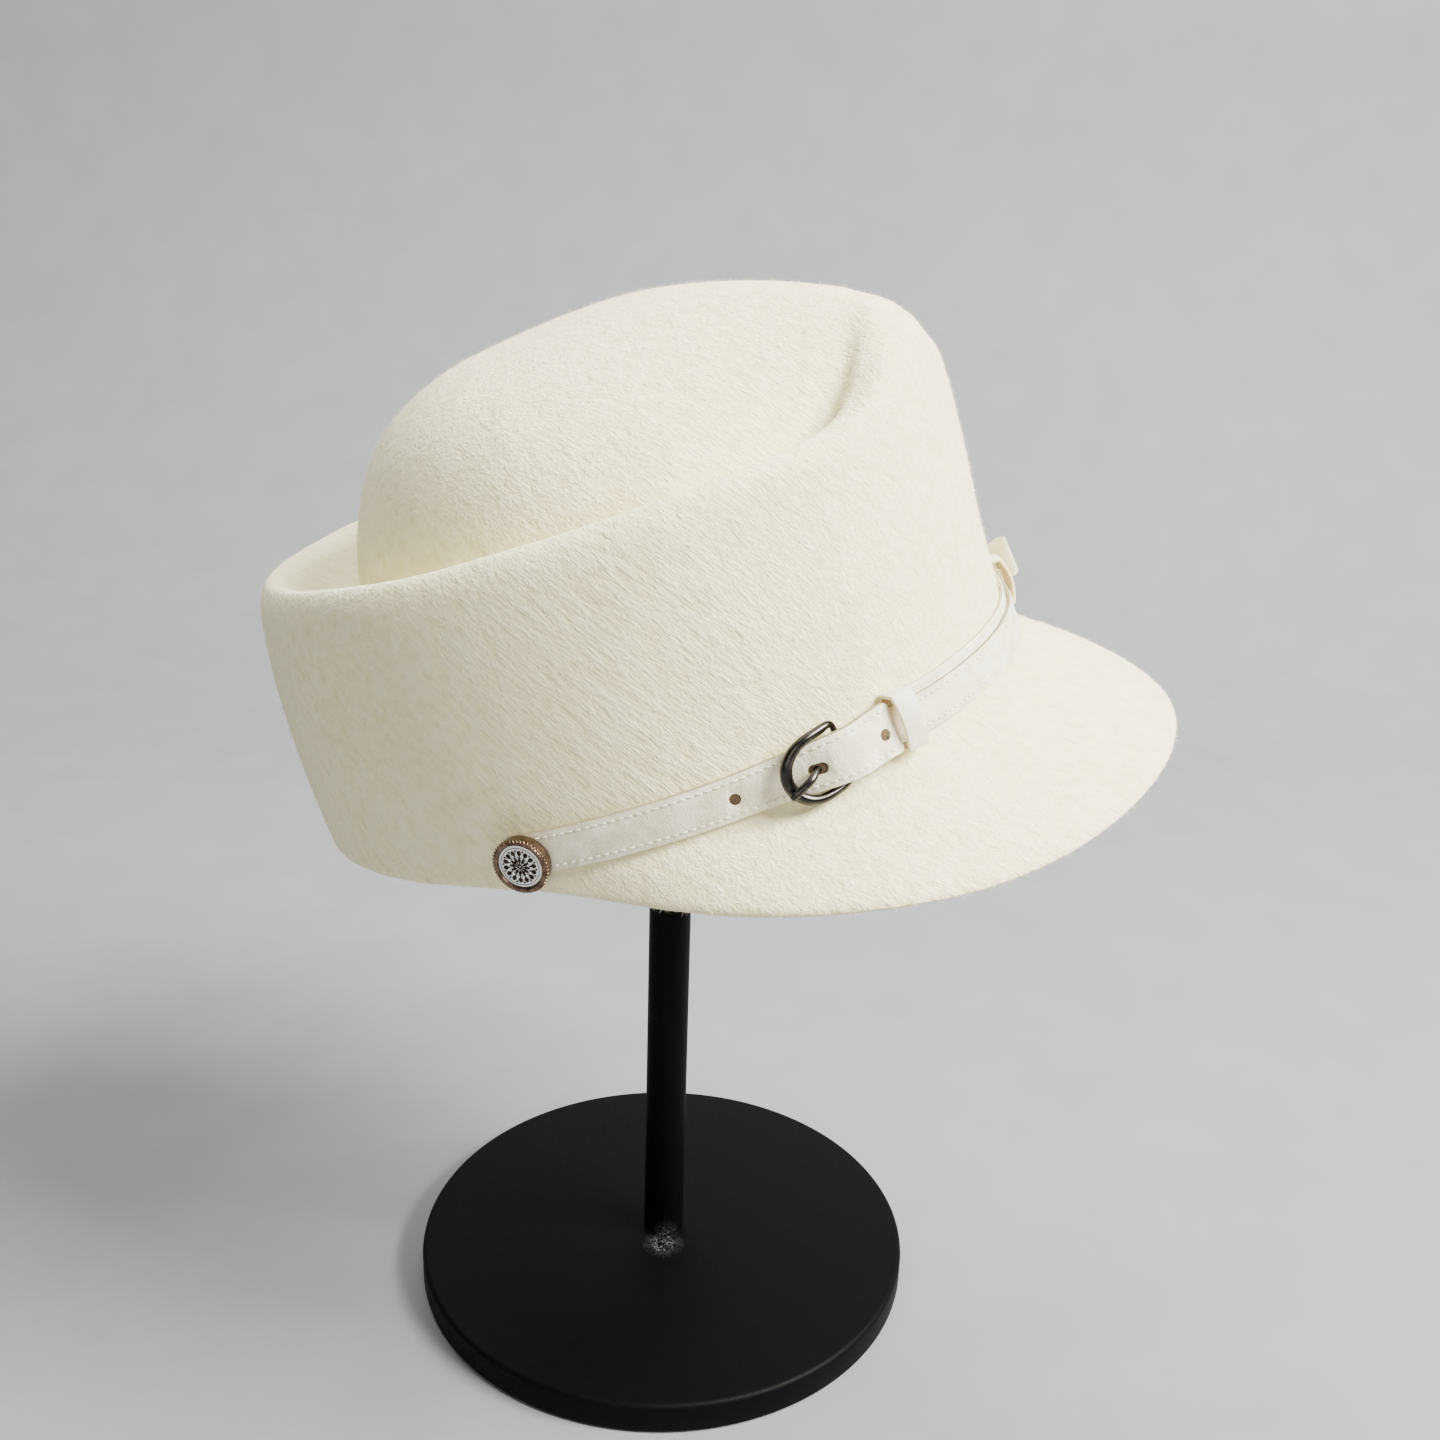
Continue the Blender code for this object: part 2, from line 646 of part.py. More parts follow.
def buckle_prong(name, side, parent):
    """The prong: a hook over the bar, out through the tongue's hole and onto the frame."""
    centre = STRAP_LOW + STRAP_WIDTH / 2
    hook = BAR_RADIUS + GAP + PRONG_RADIUS
    bar_off = bar_stand_off()
    bend_radius = FRAME_WIRE_RADIUS * FRAME_BEND
    tip_off = frame_stand_off(FRAME_LENGTH) + bend_radius + GAP + PRONG_RADIUS
    route = []
    for i in range(7):
        turn = math.radians(between(-60.0, 90.0, i / 6))
        route.append((hook * math.sin(turn), bar_off + hook * math.cos(turn)))
    route[-1] = (hook, bar_off + PRONG_RADIUS * 0.6)
    hole = PRONG_HOLE_REACH
    hole_off = tongue_stand_off(from_bar(hole)) + TONGUE_THICKNESS / 2
    route += [
        (between(hook, hole, 0.5), between(bar_off, hole_off, 0.42)),
        (hole, hole_off),
        (between(hole, FRAME_LENGTH, 0.24), between(hole_off, tip_off, 0.72)),
        (between(hole, FRAME_LENGTH, 0.5), tip_off),
        (FRAME_LENGTH + bend_radius * 0.6, tip_off),
    ]
    points = []
    for reach, off in route:
        past_hole = max(reach - hole, 0.0) / (FRAME_LENGTH - hole)
        height = centre - HOLE_DROP * min(reach / hole, 1.0) - PRONG_SKEW * past_hole
        points.append(on_band(side * from_bar(reach), height, off))
    return wire(name, points, PRONG_RADIUS, GUNMETAL, parent)


def turned(name, profile, material, parent=None, sides=TURNED_SIDES):
    """A solid turned about Z from a profile that runs down its outer side."""
    mesh = bpy.data.meshes.new(name)
    mesh.from_pydata([(x, 0.0, z) for x, z in profile], [(i, i + 1) for i in range(len(profile) - 1)], [])
    solid = place(bpy.data.objects.new(name, mesh), material, parent)
    screw = solid.modifiers.new("Turn", "SCREW")
    screw.steps = sides
    screw.render_steps = sides
    screw.use_merge_vertices = True
    screw.merge_threshold = 0.00001
    screw.use_smooth_shade = True
    return solid


def button_seat(side, lift):
    """Where a button stands on the strap's end, and the way it faces."""
    angle = side * BUTTON_ANGLE
    height = STRAP_LOW + STRAP_WIDTH / 2 - BUTTON_DROP
    spot = on_band(angle, height, lift)
    outward = spot - on_band(angle, height, 0.0)
    return spot, outward.to_track_quat("Z", "Y")


def button(side_name, side, parent):
    """A round button with a raised rim and a face of its own set into it."""
    inner = BUTTON_RADIUS - BUTTON_LIP
    floor_z = BUTTON_DEPTH - BUTTON_FACE_DEPTH
    edge = BUTTON_LIP * 0.25
    rim = [
        (0.0, floor_z),
        (inner, floor_z),
        (inner, BUTTON_DEPTH - edge),
        (inner + edge * 1.4, BUTTON_DEPTH),
        (BUTTON_RADIUS - edge, BUTTON_DEPTH - edge * 0.75),
        (BUTTON_RADIUS, BUTTON_DEPTH - edge * 2.75),
        (BUTTON_RADIUS, edge * 2),
        (BUTTON_RADIUS - edge * 1.75, 0.0),
        (0.0, 0.0),
    ]
    face_radius = inner - GAP
    face_low = floor_z + GAP
    face = [
        (0.0, BUTTON_DEPTH - edge * 0.25),
        (face_radius * 0.6, BUTTON_DEPTH - edge * 0.75),
        (face_radius, BUTTON_DEPTH - edge * 2.25),
        (face_radius, face_low),
        (0.0, face_low),
    ]
    spot, facing = button_seat(side, GAP + TONGUE_THICKNESS + BUTTON_CLEARANCE)
    for name, profile, material in (("rim", rim, BRASS), ("face", face, ENAMEL)):
        piece = turned(f"button_{name}_{side_name}", profile, material, parent, sides=24)
        piece.location = spot
        piece.rotation_mode = "QUATERNION"
        piece.rotation_quaternion = facing


def stand_base():
    edge = BASE_EDGE
    profile = [
        (0.0, BASE_THICKNESS),
        (BASE_RADIUS - edge, BASE_THICKNESS),
        (BASE_RADIUS - edge * 0.3, BASE_THICKNESS - edge * 0.3),
        (BASE_RADIUS, BASE_THICKNESS - edge),
        (BASE_RADIUS, edge),
        (BASE_RADIUS - edge, 0.0),
        (0.0, 0.0),
    ]
    return turned("stand_base", profile, BLACK)


def rest_height(body):
    """Height of the rounded rest's middle where it just meets the felt from below."""
    bpy.context.view_layer.update()
    shell = body.evaluated_get(bpy.context.evaluated_depsgraph_get())
    reach = REST_RADIUS + GAP * 2
    heights = []
    for vertex in shell.data.vertices:
        spot = shell.matrix_world @ vertex.co
        across = math.hypot(spot.x, spot.y)
        if across < REST_RADIUS * 0.98:
            heights.append(spot.z - math.sqrt(reach * reach - across * across))
    return min(heights)


def stand_pole(body):
    """The pole and the rounded rest that carries the hat, turned in one piece."""
    middle = rest_height(body)
    profile = []
    steps = 8
    for i in range(steps + 1):
        turn = math.pi / 2 * i / steps
        profile.append((REST_RADIUS * math.sin(turn), middle + REST_RADIUS * math.cos(turn)))
    profile += [
        (REST_RADIUS - REST_RIM / 2, middle - REST_RIM),
        (POLE_RADIUS, middle - REST_RIM),
        (POLE_RADIUS, BASE_THICKNESS + GAP),
        (0.0, BASE_THICKNESS + GAP),
    ]
    return turned("stand_pole", profile, BLACK, sides=24)


def hat_frame():
    """The empty that leans the hat on its stand; it turns about Y first, then about X."""
    seat = bpy.data.objects.new("hat_frame", None)
    PARTS.objects.link(seat)
    seat.rotation_mode = "YXZ"
    seat.rotation_euler = (-LEAN_BACK, -LEAN_SIDE, 0.0)
    seat.location = (HAT_OFFSET_X, HAT_OFFSET_Y, HAT_HEIGHT)
    return seat


def main():
    seat = hat_frame()
    body = felt_body(seat)
    strap_front(seat)
    strap_backing(seat)
    for side_name, side in (("right", -1), ("left", 1)):
        strap_tongue(f"strap_{side_name}", side, seat)
        keeper(f"keeper_{side_name}", side, seat)
        buckle_frame(f"buckle_frame_{side_name}", side, seat)
        buckle_prong(f"buckle_prong_{side_name}", side, seat)
        button(side_name, side, seat)
    stand_base()
    stand_pole(body)
    bpy.context.view_layer.update()


clear_scene()
PARTS = new_collection("equestrian_felt_hat")
CUTTERS = new_collection("cutters")
FELT = new_material("ivory wool felt", (0.83, 0.80, 0.70), 0.95)
STRAP = new_material("off-white suede", (0.80, 0.77, 0.68), 0.85)
GUNMETAL = new_material("dark gunmetal", (0.16, 0.15, 0.14), 0.35, 1.0)
BRASS = new_material("antique brass", (0.38, 0.27, 0.17), 0.4, 1.0)
ENAMEL = new_material("white enamel", (0.85, 0.84, 0.80), 0.25)
BLACK = new_material("matt black steel", (0.012, 0.012, 0.013), 0.5)
main()
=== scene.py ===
import json
import math

import bmesh
import bpy
import numpy as np
from mathutils import Matrix, Vector, noise
from mathutils.bvhtree import BVHTree

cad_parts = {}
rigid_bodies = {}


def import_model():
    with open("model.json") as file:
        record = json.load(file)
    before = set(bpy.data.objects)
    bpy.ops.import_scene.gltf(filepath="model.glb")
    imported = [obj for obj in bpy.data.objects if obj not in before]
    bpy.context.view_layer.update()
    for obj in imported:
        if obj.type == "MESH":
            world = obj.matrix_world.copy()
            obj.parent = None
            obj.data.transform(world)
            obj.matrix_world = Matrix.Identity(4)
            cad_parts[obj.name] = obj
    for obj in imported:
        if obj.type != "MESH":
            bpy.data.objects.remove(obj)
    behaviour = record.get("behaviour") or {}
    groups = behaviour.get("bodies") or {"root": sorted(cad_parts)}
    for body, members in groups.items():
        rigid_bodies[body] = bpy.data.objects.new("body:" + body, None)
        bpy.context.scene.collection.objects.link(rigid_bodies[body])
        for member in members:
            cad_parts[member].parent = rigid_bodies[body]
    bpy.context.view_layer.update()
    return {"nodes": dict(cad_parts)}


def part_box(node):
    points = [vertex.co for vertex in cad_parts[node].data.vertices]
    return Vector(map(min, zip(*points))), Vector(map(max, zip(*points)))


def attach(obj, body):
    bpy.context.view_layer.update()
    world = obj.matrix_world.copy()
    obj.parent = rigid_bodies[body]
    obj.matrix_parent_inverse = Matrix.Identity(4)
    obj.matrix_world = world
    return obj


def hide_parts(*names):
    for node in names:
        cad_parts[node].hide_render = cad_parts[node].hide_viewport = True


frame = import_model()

millimetre = 0.001
print("frame loaded:", len(frame["nodes"]), "nodes")


# Where the hat leans on its stand, as in the part
hatPlace = {"at": (-0.0196, -0.0089, 0.1976), "leanBack": 19.0, "leanSide": 8.8}
hatFrame = (
    Matrix.Translation(hatPlace["at"])
    @ Matrix.Rotation(-math.radians(hatPlace["leanBack"]), 4, "X")
    @ Matrix.Rotation(-math.radians(hatPlace["leanSide"]), 4, "Y")
)
hatUp = hatFrame.to_3x3() @ Vector((0, 0, 1))
strapOval = {"half": 0.1023, "width": 0.0874, "middle": 0.0033}  # of the felt at the strap


# Small helpers for modelling

def deselectAll():
    for thing in bpy.context.view_layer.objects:
        thing.select_set(False)


def takeUp(piece):  # make a piece the one that operators act on
    deselectAll()
    piece.select_set(True)
    bpy.context.view_layer.objects.active = piece


def editAll(piece):  # go into edit mode with everything selected
    takeUp(piece)
    bpy.ops.object.mode_set(mode="EDIT")
    bpy.ops.mesh.select_mode(type="VERT")
    bpy.ops.mesh.select_all(action="SELECT")


def editFaces(piece, wanted):  # go into edit mode with the wanted faces selected
    takeUp(piece)
    bpy.ops.object.mode_set(mode="EDIT")
    bpy.ops.mesh.select_mode(type="FACE")
    bpy.ops.mesh.select_all(action="DESELECT")
    bpy.ops.object.mode_set(mode="OBJECT")
    for face in piece.data.polygons:
        face.select = wanted(face)
    bpy.ops.object.mode_set(mode="EDIT")


def leaveEdit():
    bpy.ops.object.mode_set(mode="OBJECT")


def copyOfNode(nodeName, pieceName):  # a merged copy of a CAD node, to be worked on
    piece = bpy.data.objects.new(pieceName, frame["nodes"][nodeName].data.copy())
    bpy.context.scene.collection.objects.link(piece)
    piece.data.materials.clear()
    editAll(piece)
    bpy.ops.mesh.remove_doubles(threshold=0.00002)
    bpy.ops.mesh.tris_convert_to_quads(face_threshold=math.radians(40), shape_threshold=math.radians(50))
    leaveEdit()
    return piece


def applyModifier(piece, kind, **settings):
    takeUp(piece)
    modifier = piece.modifiers.new(kind.title(), kind)
    for name, value in settings.items():
        setattr(modifier, name, value)
    bpy.ops.object.modifier_apply(modifier=modifier.name)


def smooth(piece, degrees=40):
    takeUp(piece)
    bpy.ops.object.shade_smooth_by_angle(angle=math.radians(degrees))


def meshPiece(name, points, faces):
    mesh = bpy.data.meshes.new(name)
    mesh.from_pydata(points, [], faces)
    piece = bpy.data.objects.new(name, mesh)
    bpy.context.scene.collection.objects.link(piece)
    return piece


def ridePiece(piece, nodes=()):
    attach(piece, "root")
    if nodes:
        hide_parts(*nodes)


def finishPiece(piece, material, nodes=()):  # a piece of one material
    piece.data.materials.clear()
    piece.data.materials.append(material)
    ridePiece(piece, nodes)


def joinInto(first, *others):
    takeUp(first)
    for other in others:
        other.select_set(True)
    bpy.ops.object.join()
    return first


def settle(piece, matrix):  # put the object's place into its mesh
    piece.data.transform(matrix)
    piece.matrix_world = Matrix.Identity(4)


# Small helpers for materials

def linear(hexColour):  # sRGB hex to linear colour
    values = [int(hexColour[i:i + 2], 16) / 255 for i in (1, 3, 5)]
    return (*[v / 12.92 if v <= 0.04045 else ((v + 0.055) / 1.055) ** 2.4 for v in values], 1.0)


def newMaterial(name, **sockets):
    material = bpy.data.materials.new(name)
    material.use_nodes = True
    shader = material.node_tree.nodes["Principled BSDF"]
    for socket, value in sockets.items():
        shader.inputs[socket.replace("_", " ")].default_value = value
    return material, material.node_tree, shader


def addNode(tree, kind, settings=(), links=()):  # one node with its settings and links
    node = tree.nodes.new("ShaderNode" + kind)
    for name, value in dict(settings).items():
        if isinstance(name, str) and hasattr(node, name):
            setattr(node, name, value)
        else:
            node.inputs[name].default_value = value
    for name, source in dict(links).items():
        tree.links.new(source, node.inputs[name])
    return node


def ramp(tree, source, stops):  # a colour ramp from (position, hex colour) stops
    node = addNode(tree, "ValToRGB", links={"Fac": source})
    while len(node.color_ramp.elements) < len(stops):
        node.color_ramp.elements.new(0.5)
    for element, (position, colour) in zip(node.color_ramp.elements, stops):
        element.position = position
        element.color = linear(colour)
    return node.outputs["Color"]


def mapRange(tree, source, low, high, newLow, newHigh):
    settings = {"From Min": low, "From Max": high, "To Min": newLow, "To Max": newHigh}
    return addNode(tree, "MapRange", settings, {"Value": source}).outputs["Result"]


def perMm(sizeMm):  # a noise scale that gives features of about this size on metre coordinates
    return 1.0 / (sizeMm * millimetre)


def bumpOf(tree, height, distance, strength, under=None):
    links = {"Height": height}
    if under is not None:
        links["Normal"] = under
    return addNode(tree, "Bump", {"Distance": distance, "Strength": strength}, links).outputs["Normal"]


# Wool felt

felt = {
    "light": "#FBF4CF", "mid": "#F5EDBE", "dark": "#E6DBA6",
    "brush": (0.34, -0.73, -0.60),  # the way the nap was brushed
    "tuftMm": (6.5, 2.1), "strokeMm": (3.0, 0.7), "clumpMm": 2.6, "cloudMm": 28.0,
    "roughness": 0.95, "sheen": 0.35,
    "waveMm": 34.0, "waveDepth": 0.0005, "lumpMm": 4.5, "lumpDepth": 0.0001,
}


def brushedCoordinates(tree, lengthMm, widthMm):  # stretched along the brushed way
    turn = Vector(felt["brush"]).to_track_quat("X", "Z").to_euler()
    place = addNode(tree, "TexCoord").outputs["Object"]
    turned = addNode(tree, "Mapping", {"vector_type": "TEXTURE", "Rotation": turn}, {"Vector": place})
    scale = (perMm(lengthMm), perMm(widthMm), perMm(widthMm))
    return addNode(tree, "Mapping", {"Scale": scale}, {"Vector": turned.outputs["Vector"]}).outputs["Vector"]


def brushedNoise(tree, sizeMm, detail):
    return addNode(
        tree, "TexNoise", {"Scale": 1.0, "Detail": detail, "Roughness": 0.6, "Distortion": 0.4},
        {"Vector": brushedCoordinates(tree, *sizeMm)},
    ).outputs["Fac"]


def woolFelt():  # blocked wool: matt, fibrous, with tufts and short strokes of nap that catch light
    material, tree, shader = newMaterial("brushed ivory wool felt", Roughness=felt["roughness"])
    shader.inputs["Sheen Weight"].default_value = felt["sheen"]
    shader.inputs["Sheen Roughness"].default_value = 0.6
    shader.inputs["Sheen Tint"].default_value = linear("#FFFBF0")
    shader.inputs["Specular IOR Level"].default_value = 0.2
    place = addNode(tree, "TexCoord").outputs["Object"]
    tufts = brushedNoise(tree, felt["tuftMm"], 4.0)
    strokes = brushedNoise(tree, felt["strokeMm"], 3.0)
    clumps = addNode(
        tree, "TexNoise", {"Scale": perMm(felt["clumpMm"]), "Detail": 5.0, "Roughness": 0.65},
        {"Vector": place},
    ).outputs["Fac"]
    clouds = addNode(
        tree, "TexNoise", {"Scale": perMm(felt["cloudMm"]), "Detail": 2.0}, {"Vector": place}
    ).outputs["Fac"]
    mixed = addNode(tree, "Math", {"operation": "MULTIPLY_ADD", 1: 0.55}, {0: clumps, 2: tufts}).outputs[0]
    mixed = addNode(tree, "Math", {"operation": "MULTIPLY_ADD", 1: 0.25}, {0: clouds, 2: mixed}).outputs[0]
    tone = mapRange(tree, mixed, 0.66, 1.12, 0.0, 1.0)
    stops = ((0.0, felt["dark"]), (0.5, felt["mid"]), (1.0, felt["light"]))
    tree.links.new(ramp(tree, tone, stops), shader.inputs["Base Color"])
    normal = bumpOf(tree, clumps, 0.0008, 0.5)
    normal = bumpOf(tree, tufts, 0.0013, 0.45, normal)
    normal = bumpOf(tree, strokes, 0.0006, 0.6, normal)
    tree.links.new(normal, shader.inputs["Normal"])
    return material


def woolNap():  # loose fibre ends on the felt, each a little lighter or darker
    material, tree, shader = newMaterial("loose wool fibre", Roughness=0.9)
    shader.inputs["Specular IOR Level"].default_value = 0.2
    shader.inputs["Sheen Weight"].default_value = 0.3
    tint = addNode(tree, "Attribute", {"attribute_name": "fibreTint"}).outputs["Fac"]
    stops = ((0.0, felt["mid"]), (1.0, "#FCF8E8"))
    tree.links.new(ramp(tree, tint, stops), shader.inputs["Base Color"])
    return material


def softenFelt(piece):  # the uneven hand of blocked felt: slow waves and small lumps
    elsewhere = Vector((7, 3, 1))  # so that the lumps don't follow the waves
    normals = [vertex.normal.copy() for vertex in piece.data.vertices]
    places = []
    for vertex, normal in zip(piece.data.vertices, normals):
        spot = vertex.co
        move = noise.noise(spot / (felt["waveMm"] * millimetre)) * felt["waveDepth"]
        move += noise.noise(spot / (felt["lumpMm"] * millimetre) + elsewhere) * felt["lumpDepth"]
        places.append(spot + normal * move)
    piece.data.vertices.foreach_set("co", np.array(places).ravel())
    piece.data.update()


feltShell = copyOfNode("felt_body", "felt_shell")
applyModifier(feltShell, "SUBSURF", levels=2, render_levels=2)
softenFelt(feltShell)
smooth(feltShell, 80)
finishPiece(feltShell, woolFelt(), ["felt_body"])
print("felt shell:", len(feltShell.data.polygons), "faces")


# Loose fibres that stand off the felt and make its outline soft.
# Real wool is about 0.02 mm thick: it is drawn coarser, so that fewer fibres give the same soft edge.

nap = {
    "fibres": 150000, "lengthMm": (0.5, 2.0), "widthMm": 0.085, "liftDegrees": (8, 42),
    "stray": 0.9, "seed": 11,
}


def growNap(piece, name):
    generator = np.random.default_rng(nap["seed"])
    mesh = piece.data
    mesh.calc_loop_triangles()
    points = np.empty(len(mesh.vertices) * 3)
    mesh.vertices.foreach_get("co", points)
    corners = np.empty(len(mesh.loop_triangles) * 3, dtype=np.int32)
    mesh.loop_triangles.foreach_get("vertices", corners)
    triangles = points.reshape(-1, 3)[corners.reshape(-1, 3)]
    cross = np.cross(triangles[:, 1] - triangles[:, 0], triangles[:, 2] - triangles[:, 0])
    areas = np.linalg.norm(cross, axis=1)
    normals = cross / np.maximum(areas, 1e-12)[:, None]
    count = nap["fibres"]
    chosen = generator.choice(len(triangles), count, p=areas / areas.sum())
    root = np.sqrt(generator.random(count))[:, None]
    slide = generator.random(count)[:, None]
    picked = triangles[chosen]
    feet = picked[:, 0] * (1 - root) + picked[:, 1] * root * (1 - slide) + picked[:, 2] * root * slide
    up = normals[chosen]
    lay = np.array(felt["brush"]) + generator.normal(0.0, nap["stray"], (count, 3))
    lay -= up * (lay * up).sum(axis=1)[:, None]
    lay /= np.linalg.norm(lay, axis=1)[:, None]
    lift = np.radians(generator.uniform(*nap["liftDegrees"], count))[:, None]
    length = generator.uniform(*nap["lengthMm"], count)[:, None] * millimetre
    across = np.cross(up, lay) * nap["widthMm"] * millimetre / 2
    tips = feet + (lay * np.cos(lift) + up * np.sin(lift)) * length
    corners = np.stack([feet - across, feet + across, tips], axis=1).reshape(-1, 3)
    fuzz = bpy.data.meshes.new(name)
    fuzz.vertices.add(count * 3)
    fuzz.loops.add(count * 3)
    fuzz.polygons.add(count)
    fuzz.vertices.foreach_set("co", corners.ravel())
    fuzz.loops.foreach_set("vertex_index", np.arange(count * 3, dtype=np.int32))
    fuzz.polygons.foreach_set("loop_start", np.arange(0, count * 3, 3, dtype=np.int32))
    tint = fuzz.attributes.new("fibreTint", "FLOAT", "POINT")
    tint.data.foreach_set("value", np.repeat(generator.random(count), 3))
    fuzz.update(calc_edges=True)
    fibres = bpy.data.objects.new(name, fuzz)
    bpy.context.scene.collection.objects.link(fibres)
    return fibres


feltNap = growNap(feltShell, "felt_nap")
finishPiece(feltNap, woolNap())
print("felt nap:", len(feltNap.data.polygons), "fibres")


# Suede straps

suedeLook = {
    "light": "#F3EDD6", "dark": "#DBD1B4", "bevel": 0.00028,
    "napMm": 0.45, "patchMm": 5.0,  # the nap is drawn coarser than real suede's, to be seen at all
}


def suede(name="off-white suede", light=suedeLook["light"], dark=suedeLook["dark"]):
    # buffed flesh side of leather: dense short nap, faint rubbed patches, no gloss
    material, tree, shader = newMaterial(name, Roughness=0.88)
    shader.inputs["Sheen Weight"].default_value = 0.25
    shader.inputs["Sheen Roughness"].default_value = 0.5
    shader.inputs["Specular IOR Level"].default_value = 0.3
    place = addNode(tree, "TexCoord").outputs["Object"]
    grain = addNode(
        tree, "TexNoise", {"Scale": perMm(suedeLook["napMm"]), "Detail": 3.0, "Roughness": 0.7},
        {"Vector": place},
    ).outputs["Fac"]
    patches = addNode(
        tree, "TexNoise", {"Scale": perMm(suedeLook["patchMm"]), "Detail": 4.0}, {"Vector": place}
    ).outputs["Fac"]
    mixed = addNode(tree, "Math", {"operation": "MULTIPLY_ADD", 1: 0.5}, {0: grain, 2: patches}).outputs[0]
    tone = mapRange(tree, mixed, 0.58, 0.90, 0.0, 1.0)
    tree.links.new(ramp(tree, tone, ((0.0, dark), (1.0, light))), shader.inputs["Base Color"])
    normal = bumpOf(tree, patches, 0.0005, 0.5)
    tree.links.new(bumpOf(tree, grain, 0.0003, 0.7, normal), shader.inputs["Normal"])
    return material


def rawEdgeAndPaintedShade(name="pierced suede with painted shade", dark="#A3926F", light="#C4B594"):
    # where the hide was cut or pierced: tanned core, darker and rougher than the face. It also paints shade: in
    # the punched holes, in the needle holes, along the strap edges where they meet the felt, and inside the
    # keepers.
    material, tree, shader = newMaterial(name, Roughness=0.95)
    place = addNode(tree, "TexCoord").outputs["Object"]
    fibre = addNode(tree, "TexNoise", {"Scale": perMm(0.5), "Detail": 4.0}, {"Vector": place}).outputs["Fac"]
    tree.links.new(ramp(tree, fibre, ((0.3, dark), (0.7, light))), shader.inputs["Base Color"])
    return material


def pieceTree(piece):
    body = bmesh.new()
    body.from_mesh(piece.data)
    tree = BVHTree.FromBMesh(body)
    body.free()
    return tree


rayStart = 0.03  # outside the felt, clear of every strap
besideDegrees = 0.3  # how far to each side a strap's direction is taken


def onPiece(tree, angle, height):  # the outer face at an angle from the front and a height
    turn = math.radians(angle)
    sine, cosine = math.sin(turn), math.cos(turn)
    outward = Vector((sine / strapOval["width"], -cosine / strapOval["half"], 0.0)).normalized()
    foot = Vector((
        strapOval["width"] * sine,
        strapOval["middle"] - strapOval["half"] * cosine,
        height,
    ))
    heading = hatFrame.to_3x3() @ outward
    hit = tree.ray_cast(hatFrame @ (foot + outward * rayStart), -heading, 2 * rayStart)
    return hit[0], hit[1]


def edgesAt(tree, angle):  # lowest and highest place where a strap is met at an angle
    heights = [step * 0.0001 for step in range(-30, 230)]
    met = [height for height in heights if onPiece(tree, angle, height)[0]]
    return (met[0], met[-1]) if met else None


# The top and bottom edge faces of each strap get the raw hide colour, darkened as painted contact shadow where
# the strap meets the felt.
strapMaterials = [suede(), rawEdgeAndPaintedShade("raw strap edge with painted contact shadow", "#7F7459", "#A79C7E")]
straps = {
    "strap_front": "front_strap", "strap_right": "right_strap", "strap_left": "left_strap",
    "strap_backing": "front_strap_backing",
}
strapPieces = {}
for nodeName, pieceName in straps.items():
    strap = copyOfNode(nodeName, pieceName)
    for material in strapMaterials:
        strap.data.materials.append(material)
    for face in strap.data.polygons:
        face.material_index = int(abs(face.normal.dot(hatUp)) > 0.8)
    applyModifier(
        strap, "BEVEL", width=suedeLook["bevel"], segments=2, limit_method="ANGLE",
        angle_limit=math.radians(50), material=0,
    )
    smooth(strap, 35)
    ridePiece(strap, [nodeName])
    strapPieces[nodeName] = strap
print("straps:", len(strapPieces))


# Stitches of waxed thread along the strap edges, each one a bead between two needle holes

stitch = {
    "lengthMm": 1.4, "thicknessMm": 0.42, "pitchMm": 1.9, "fromEdgeMm": 1.3, "proudMm": 0.08,
    "holeMm": (0.5, 0.42, 0.16),
    "degreesPerMm": 0.62,  # along the strap, seen from the middle of the hat
}
stitchRows = {
    # node: (first angle, last angle)
    "strap_right": (-82.0, -31.0),
    "strap_left": (31.0, 82.0),
    "strap_front": (-27.0, 27.0),
}


def waxedThread():  # off-white polyester sewing thread, slightly glossy from its wax
    material, tree, shader = newMaterial("waxed off-white thread", Roughness=0.55)
    place = addNode(tree, "TexCoord").outputs["Object"]
    fluff = addNode(tree, "TexNoise", {"Scale": perMm(0.3), "Detail": 2.0}, {"Vector": place}).outputs["Fac"]
    tree.links.new(ramp(tree, fluff, ((0.3, "#EBE5D4"), (0.7, "#F9F5E9"))), shader.inputs["Base Color"])
    tree.links.new(bumpOf(tree, fluff, 0.0001, 0.4), shader.inputs["Normal"])
    return material


def asTemplate(piece):  # take a small shape's points and faces to copy, and remove the shape
    points = [vertex.co.copy() for vertex in piece.data.vertices]
    faces = [tuple(polygon.vertices) for polygon in piece.data.polygons]
    bpy.data.objects.remove(piece)
    return points, faces


def beadOf(sizeMm):  # an ellipsoid of this size, modelled at the origin
    deselectAll()
    bpy.ops.mesh.primitive_uv_sphere_add(segments=8, ring_count=6, radius=0.5)
    ball = bpy.context.active_object
    editAll(ball)
    bpy.ops.transform.rotate(value=math.pi / 2, orient_axis="Y", center_override=(0, 0, 0))
    bpy.ops.transform.resize(value=[size * millimetre for size in sizeMm])
    leaveEdit()
    return asTemplate(ball)


def addCopy(template, place, points, faces):  # a copy of a small shape at a place
    first = len(points)
    points += [place @ point for point in template[0]]
    faces += [tuple(first + i for i in face) for face in template[1]]


def seatAt(tree, angle, height, proudMm=0.0):  # X along the strap, Z out of it
    spot, normal = onPiece(tree, angle, height)
    ahead, _ = onPiece(tree, angle + besideDegrees, height)
    behind, _ = onPiece(tree, angle - besideDegrees, height)
    if not (spot and ahead and behind):
        return None
    along = (ahead - behind).normalized()
    across = normal.cross(along).normalized()
    turn = Matrix((along, across, along.cross(across))).transposed().to_4x4()
    return Matrix.Translation(spot + normal * proudMm * millimetre) @ turn


